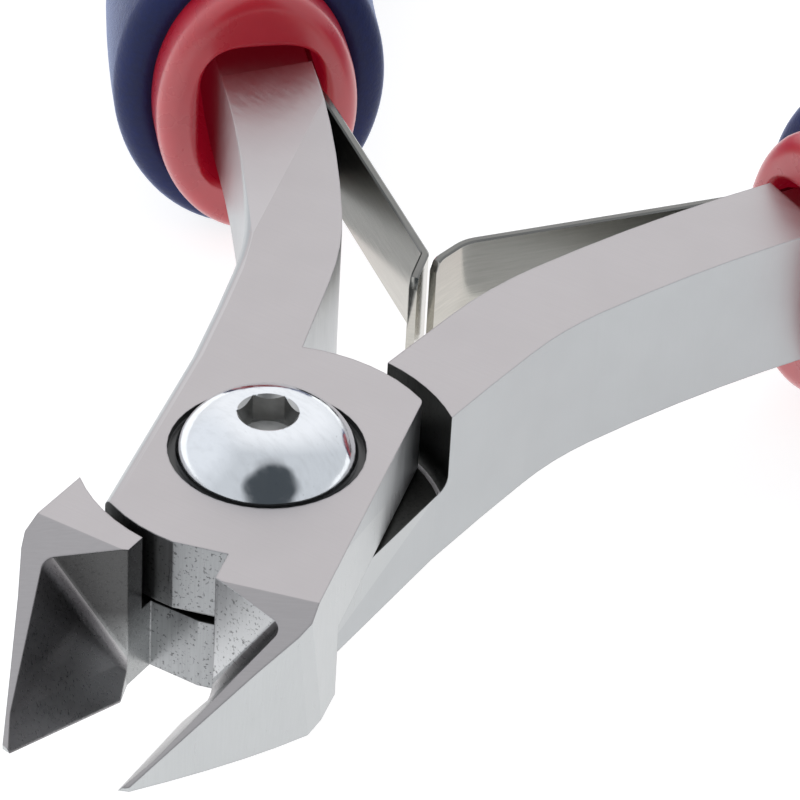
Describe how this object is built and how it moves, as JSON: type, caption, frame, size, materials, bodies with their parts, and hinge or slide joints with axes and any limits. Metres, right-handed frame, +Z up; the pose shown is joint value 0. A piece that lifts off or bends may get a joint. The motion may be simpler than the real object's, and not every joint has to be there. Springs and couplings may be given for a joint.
{
  "type": "diagonal cutting pliers",
  "caption": "Slim diagonal cutting pliers with a lap joint, hollow-ground tapered jaws, button-head pivot screw, twin leaf springs and two-layer sleeve grips.",
  "frame": {"origin": "on the pivot axis at the joint's flat underside, with the pliers open at rest", "axes": "+Y towards the handles along the middle line, -Y towards the jaws, +Z up through the pivot screw's head, +X towards the lower lever's handle"},
  "size_m": [0.0648, 0.1134, 0.0147],
  "materials": {
    "lever_steel": "satin ground tool steel",
    "screw_chrome": "polished",
    "washer_steel": "dark",
    "spring_steel": "bright rolled spring strip",
    "rivet_steel": "plain",
    "liner_vinyl": "glossy soft vinyl",
    "cushion_vinyl": "matte cushion vinyl"
  },
  "bodies": {
    "lower": {"lever_lower": "lever_steel", "pivot_screw": "screw_chrome", "joint_washer": "washer_steel", "spring_foot_right": "spring_steel", "spring_rivets_right": "rivet_steel", "grip_liner_right": "liner_vinyl", "grip_cushion_right": "cushion_vinyl"},
    "upper": {"lever_upper": "lever_steel", "spring_foot_left": "spring_steel", "spring_rivets_left": "rivet_steel", "grip_liner_left": "liner_vinyl", "grip_cushion_left": "cushion_vinyl"},
    "blade_right": {"spring_blade_right": "spring_steel"},
    "blade_left": {"spring_blade_left": "spring_steel"}
  },
  "joints": [
    {"name": "pivot", "type": "hinge", "parent": "lower", "child": "upper", "pos_m": [0, 0, 0], "axis": [0, 0, -1], "range_deg": [0, 15], "stiffness_Nm_per_rad": 0.8, "springref_deg": -6.88},
    {"name": "blade_right_flex", "type": "hinge", "parent": "lower", "child": "blade_right", "pos_m": [0.01098, 0.02786, 0.00315], "axis": [0, 0, 1], "range_deg": [0, 9.77]},
    {"name": "blade_left_flex", "type": "hinge", "parent": "upper", "child": "blade_left", "pos_m": [-0.0095, 0.02535, 0.00315], "axis": [0, 0, -1], "range_deg": [0, 9.68]}
  ],
  "couplings": [
    {"joint": "blade_right_flex", "follows": "pivot", "ratio": 0.6479},
    {"joint": "blade_left_flex", "follows": "pivot", "ratio": 0.6422}
  ]
}
